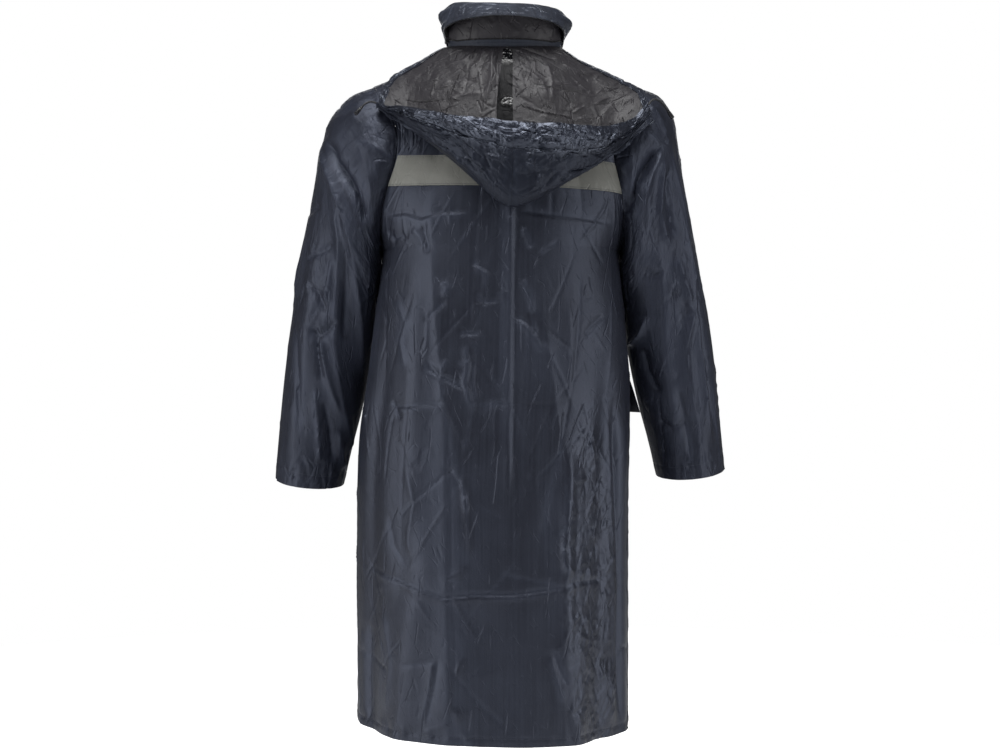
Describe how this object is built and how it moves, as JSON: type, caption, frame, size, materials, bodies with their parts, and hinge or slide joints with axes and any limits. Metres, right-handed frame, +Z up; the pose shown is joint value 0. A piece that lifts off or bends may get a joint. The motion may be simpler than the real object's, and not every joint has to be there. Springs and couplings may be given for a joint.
{
  "type": "hooded raincoat",
  "caption": "Long hooded raincoat, filled out as worn and empty, with its hood thrown back out of the unzipped collar pocket and reflective tape across the shoulders.",
  "frame": {"origin": "between the two points where the shoulder seams meet the collar, at the height where the coat rests on the wearer's shoulders", "axes": "+Z up along the coat from its hem to its collar, +Y out of the back, +X towards the wearer's left, front faces -Y"},
  "size_m": [0.772, 0.3795, 1.2153],
  "materials": {
    "navy_nylon": "satin coated nylon",
    "grey_coating": "matt grey coating",
    "reflective_tape": "matt reflective tape",
    "zip_tape": "woven tape",
    "black_cord": "braided cord",
    "black_plastic": "glossy",
    "dark_metal": "dark enamel"
  },
  "bodies": {
    "coat": {"back": "navy_nylon", "reflective_tape": "reflective_tape", "front_left": "navy_nylon", "pocket_flap_left": "navy_nylon", "front_right": "navy_nylon", "pocket_flap_right": "navy_nylon", "sleeve_left": "navy_nylon", "sleeve_right": "navy_nylon", "hood_left": "grey_coating", "hood_left_side_hem": "navy_nylon", "hood_left_casing": "navy_nylon", "hood_right": "grey_coating", "hood_right_side_hem": "navy_nylon", "hood_right_casing": "navy_nylon", "hood_seam_tape": "navy_nylon", "collar_inner": "grey_coating", "zip_tape_lower": "zip_tape", "collar_outer": "navy_nylon", "zip_tape_upper": "zip_tape", "snap_cap_1": "dark_metal", "snap_cap_2": "dark_metal", "snap_cap_3": "dark_metal", "snap_cap_4": "dark_metal", "snap_cap_5": "dark_metal", "snap_cap_6": "dark_metal", "snap_cap_7": "dark_metal", "snap_cap_8": "dark_metal", "snap_cap_9": "dark_metal", "cord_left": "black_cord", "cord_end_left": "black_plastic", "cord_right": "black_cord", "cord_end_right": "black_plastic", "zip_slider": "dark_metal"},
    "pull_tab": {"zip_pull": "dark_metal"}
  },
  "joints": [
    {"name": "pull_tab_swing", "type": "hinge", "parent": "coat", "child": "pull_tab", "pos_m": [0.0918, 0.0155, 0.0128], "axis": [0.3025, -0.9531, 0], "range_deg": [0, 90]}
  ]
}
